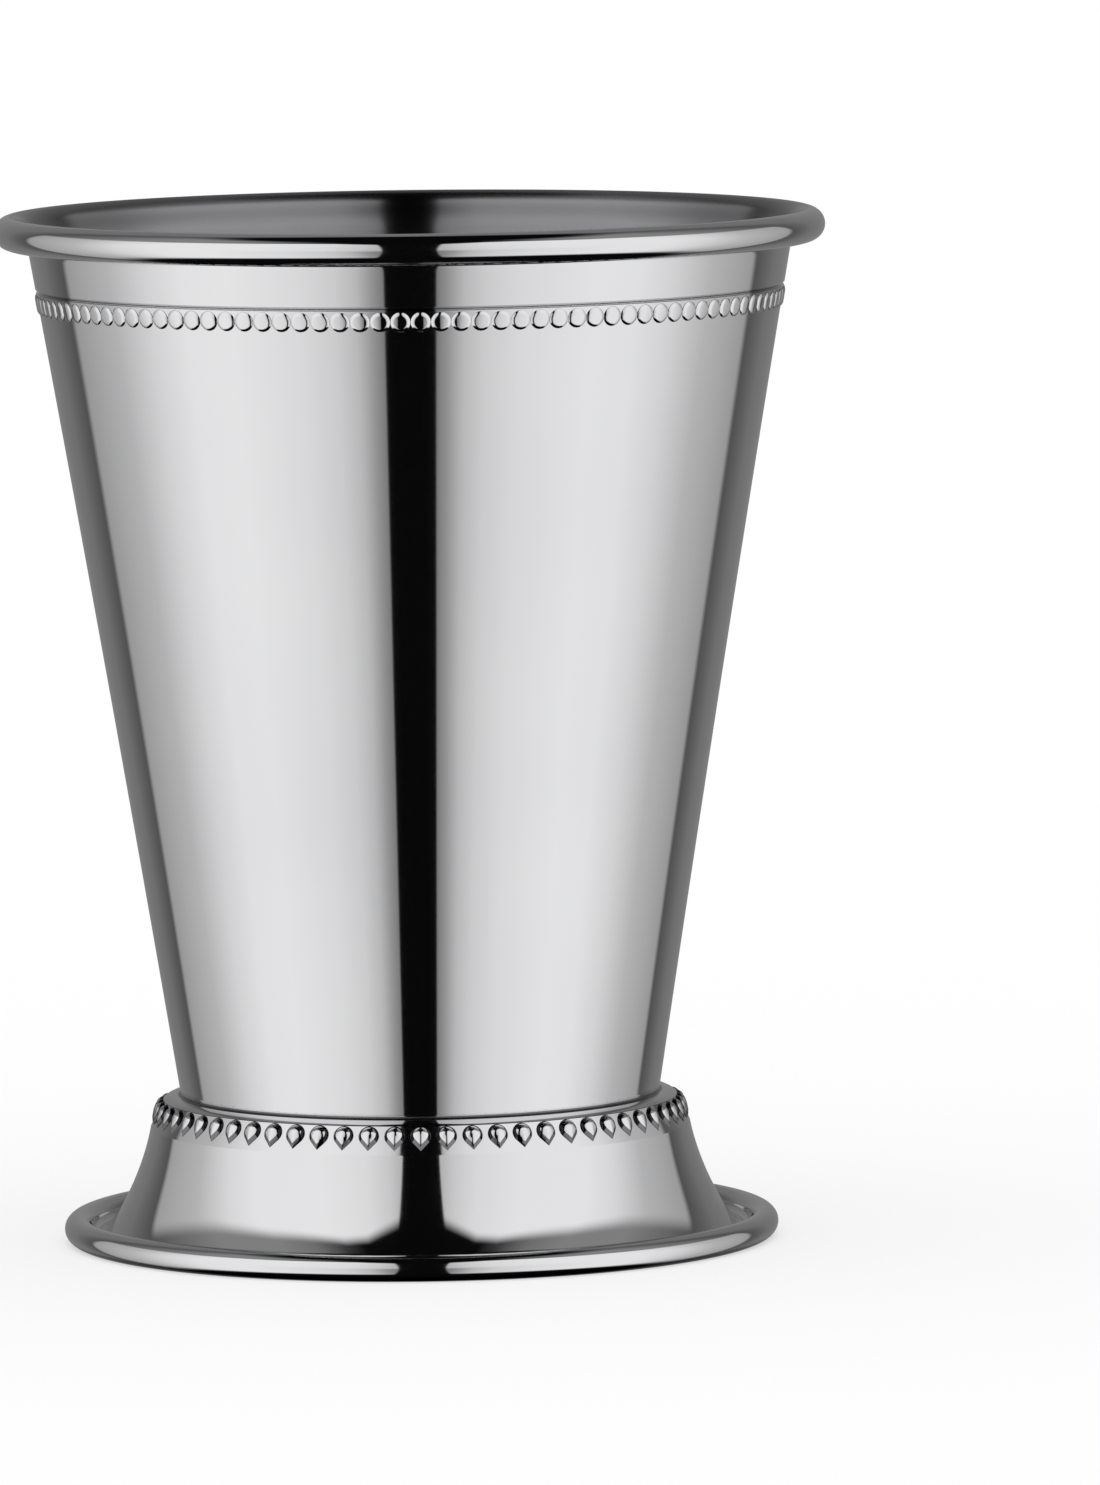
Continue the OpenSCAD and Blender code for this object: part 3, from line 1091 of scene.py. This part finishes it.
def follow_ray(tree: Tree) -> Ray:
    """Adds the nodes that say where a ray goes.

    Args:
        tree: The world's tree.

    Returns:
        The ray's direction.
    """
    way = add_node(tree, "ShaderNodeTexCoord").outputs["Generated"]
    axes = add_node(tree, "ShaderNodeSeparateXYZ", {"Vector": way}).outputs
    aside = add_node(tree, "ShaderNodeMath", {0: axes["X"]}, operation="ABSOLUTE").outputs[0]
    away = add_node(
        tree, "ShaderNodeMath", {0: axes["Y"], 1: 0.0}, operation="GREATER_THAN"
    ).outputs[0]
    back = add_node(
        tree, "ShaderNodeMath", {0: axes["Y"], 1: -1.0}, operation="MULTIPLY"
    ).outputs[0]
    turn = add_node(
        tree, "ShaderNodeMath", {0: aside, 1: back}, operation="ARCTAN2"
    ).outputs[0]
    half = add_node(tree, "ShaderNodeMath", {0: turn, 1: pi}, operation="DIVIDE").outputs[0]
    height = add_node(tree, "ShaderNodeMath", {0: axes["Z"]}, operation="ARCSINE").outputs[0]
    return Ray(aside, away, half, height)


@dataclass
class Studio:
    """The camera, the white floor and the light tent round the cup."""

    # The fitted camera: its place, and its turn, dip and roll in radians
    eye_distance: float = 1552.8 * MM
    eye_height: float = 200.95 * MM
    aim_turn: float = 0.0097
    aim_dip: float = 0.0933
    aim_roll: float = 0.0116
    focal_px: float = 13896.9
    frame_px: tuple[int, int] = (1100, 1485)
    # Sensor width in millimetres, which only sets the lens that goes with focal_px
    sensor: float = 36.0
    floor_size: float = 30.0
    floor_tint: str = "#FFFFFF"
    # Share of plain white in the floor that the camera sees, which keeps the shadow soft
    floor_glow: float = 0.55
    floor_grain: float = 2 * MM
    floor_grain_depth: float = 0.001 * MM
    # Where the gap between the two soft panels ends, through which the camera looks: how far
    # aside a ray points where their edge starts, and where it is full
    gap: tuple[float, float] = (0.126, 0.137)
    # Brightness of a panel by angle round the cup from the camera, in degrees, below and above
    # the level, and half of the height over which the two blend
    low_panel: Stops = (
        (0, 0.18), (9, 0.27), (12, 0.38), (17, 0.62), (24, 0.78), (36, 0.90), (60, 1.0),
        (76, 0.98), (90, 0.84), (107, 0.58), (130, 0.40), (133, 0.10), (148, 0.19), (180, 0.25),
    )
    high_panel: Stops = (
        (0, 0.45), (10, 0.62), (14, 0.74), (24, 0.90), (45, 1.0), (76, 1.0), (90, 0.88),
        (107, 0.58), (130, 0.42), (133, 0.10), (148, 0.19), (180, 0.25),
    )
    level_blend: float = 8.0
    # Height of the panels' top edge by the same angle, both in degrees
    panel_top: Stops = (
        (0, 40), (8, 43), (15, 46), (27, 51), (38, 51), (71, 42), (98, 32), (133, 22), (180, 20),
    )
    # Half of the height over which that edge fades, in degrees
    top_fade: float = 3.5
    # Brightness over that edge, and the heights between which it ends, in degrees
    over_panel: Stops = (
        (0, 0.003), (30, 0.004), (40, 0.05), (55, 0.20), (71, 0.27), (98, 0.27), (133, 0.1),
        (148, 0.19), (180, 0.2),
    )
    over_end: tuple[float, float] = (56, 68)
    # Heights between which the panels end below the level, in degrees
    panel_foot: tuple[float, float] = (-42, -52)
    # Brightness of the unlit part of the tent
    dark: float = 0.003

    def camera(self) -> None:
        """Places the camera where the fitted view puts it."""
        deselect_all()
        ahead = Vector((
            sin(self.aim_turn) * cos(self.aim_dip), cos(self.aim_turn) * cos(self.aim_dip),
            -sin(self.aim_dip),
        ))
        side = Vector((cos(self.aim_turn), -sin(self.aim_turn), 0))
        up = side.cross(ahead)
        right = cos(self.aim_roll) * side - sin(self.aim_roll) * up
        top = sin(self.aim_roll) * side + cos(self.aim_roll) * up
        axes = Matrix((right, top, -ahead)).transposed()
        eye = (0, -self.eye_distance, self.eye_height)
        bpy.ops.object.camera_add(location=eye, rotation=axes.to_euler())
        lens = bpy.context.object
        lens.name = "view"
        lens.data.sensor_width = self.sensor
        lens.data.lens = self.focal_px * self.sensor / max(self.frame_px)
        lens.data.clip_end = self.floor_size
        bpy.context.scene.camera = lens

    def floor(self) -> None:
        """Lays the plain white floor, which shiny metal doesn't show."""
        deselect_all()
        bpy.ops.mesh.primitive_plane_add(size=self.floor_size, location=(0, 0, 0))
        floor = bpy.context.object
        floor.name = "table_top"
        paint = bpy.data.materials.new("matt_white_paint")
        paint.use_nodes = True
        tree = paint.node_tree
        tree.nodes.clear()
        place = add_node(tree, "ShaderNodeTexCoord").outputs["Object"]
        grain = add_node(
            tree, "ShaderNodeTexNoise", {"Vector": place, "Scale": 1 / self.floor_grain}
        ).outputs["Fac"]
        bump = add_node(
            tree, "ShaderNodeBump", {"Height": grain, "Distance": self.floor_grain_depth}
        )
        matt = add_node(tree, "ShaderNodeBsdfDiffuse", {
            "Color": linear(self.floor_tint), "Normal": bump.outputs["Normal"],
        })
        glow = add_node(tree, "ShaderNodeEmission", {"Color": WHITE, "Strength": 1.0})
        seen = add_node(tree, "ShaderNodeLightPath").outputs["Is Camera Ray"]
        share = add_node(
            tree, "ShaderNodeMath", {0: seen, 1: self.floor_glow}, operation="MULTIPLY"
        ).outputs[0]
        mixed = add_node(
            tree, "ShaderNodeMixShader", {0: share, 1: matt.outputs[0], 2: glow.outputs[0]}
        )
        add_node(tree, "ShaderNodeOutputMaterial", {"Surface": mixed.outputs[0]})
        floor.data.materials.append(paint)
        floor.visible_glossy = False

    def panels(self, tree: Tree, ray: Ray) -> Socket:
        """Adds the light of the two panels and of the tent over them.

        Args:
            tree: The world's tree.
            ray: The ray's direction.

        Returns:
            The light as a colour.
        """
        over_level = add_node(tree, "ShaderNodeMapRange", {
            "Value": ray.height, "From Min": radians(-self.level_blend),
            "From Max": radians(self.level_blend),
        }, interpolation_type="SMOOTHSTEP").outputs["Result"]
        lit = add_node(tree, "ShaderNodeMix", {
            "Factor": over_level, MIX_A: ray.level(tree, self.low_panel),
            MIX_B: ray.level(tree, self.high_panel),
        }, data_type="RGBA").outputs[MIX_RESULT]
        tops = tuple((angle, radians(top)) for angle, top in self.panel_top)
        past_top = add_node(
            tree, "ShaderNodeMath", {0: ray.height, 1: ray.level(tree, tops)},
            operation="SUBTRACT",
        ).outputs[0]
        over_top = add_node(tree, "ShaderNodeMapRange", {
            "Value": past_top, "From Min": radians(-self.top_fade),
            "From Max": radians(self.top_fade),
        }, interpolation_type="SMOOTHSTEP").outputs["Result"]
        return add_node(tree, "ShaderNodeMix", {
            "Factor": over_top, MIX_A: lit, MIX_B: ray.level(tree, self.over_panel),
        }, data_type="RGBA").outputs[MIX_RESULT]

    def lit_share(self, tree: Tree, ray: Ray) -> Socket:
        """Adds the outline of the tent's lit part.

        Args:
            tree: The world's tree.
            ray: The ray's direction.

        Returns:
            1 in the lit part, and 0 in the gap and past the tent's upper and lower ends.
        """
        past_gap = add_node(tree, "ShaderNodeMapRange", {
            "Value": ray.aside, "From Min": self.gap[0], "From Max": self.gap[1],
        }, interpolation_type="SMOOTHSTEP").outputs["Result"]
        shown = add_node(
            tree, "ShaderNodeMath", {0: past_gap, 1: ray.away}, operation="MAXIMUM"
        ).outputs[0]
        for start, stop in (self.over_end, self.panel_foot):
            edge = add_node(tree, "ShaderNodeMapRange", {
                "Value": ray.height, "From Min": radians(start), "From Max": radians(stop),
                "To Min": 1.0, "To Max": 0.0,
            }, interpolation_type="SMOOTHSTEP").outputs["Result"]
            shown = add_node(
                tree, "ShaderNodeMath", {0: shown, 1: edge}, operation="MULTIPLY"
            ).outputs[0]
        return shown

    def light(self) -> None:
        """Makes the light tent: shiny metal sees the panels, all else sees even white."""
        world = bpy.data.worlds.new("light_tent")
        bpy.context.scene.world = world
        world.use_nodes = True
        world.cycles.sampling_method = "NONE"
        tree = world.node_tree
        tree.nodes.clear()
        ray = follow_ray(tree)
        tent = add_node(tree, "ShaderNodeMix", {
            "Factor": self.lit_share(tree, ray), MIX_A: grey(self.dark),
            MIX_B: self.panels(tree, ray),
        }, data_type="RGBA").outputs[MIX_RESULT]
        seen = add_node(tree, "ShaderNodeBackground", {"Color": tent, "Strength": 1.0})
        even = add_node(tree, "ShaderNodeBackground", {"Color": WHITE, "Strength": 1.0})
        path = add_node(tree, "ShaderNodeLightPath").outputs
        plain = add_node(tree, "ShaderNodeMath", {
            0: path["Is Camera Ray"], 1: path["Is Diffuse Ray"],
        }, operation="MAXIMUM").outputs[0]
        mixed = add_node(tree, "ShaderNodeMixShader", {
            0: plain, 1: seen.outputs[0], 2: even.outputs[0],
        })
        add_node(tree, "ShaderNodeOutputWorld", {"Surface": mixed.outputs[0]})

    def build(self) -> None:
        """Sets up the view, the floor and the light."""
        self.camera()
        self.floor()
        self.light()
        bpy.context.scene.view_settings.view_transform = "Standard"


def main() -> None:
    """Builds the studio and the cup, one sub-assembly after the other."""
    logging.basicConfig(level=logging.INFO, format="%(name)s %(message)s")
    Studio().build()
    body = CupBody()
    body.build()
    CupFloor(body).build()
    RimBeads(line=body.strip_line(), thickness=body.strip_t).build()
    foot = CupFoot(body)
    foot.build()
    FootDrops(line=foot.strip_line(), thickness=foot.seat_t).build()


if __name__ == "__main__":
    main()
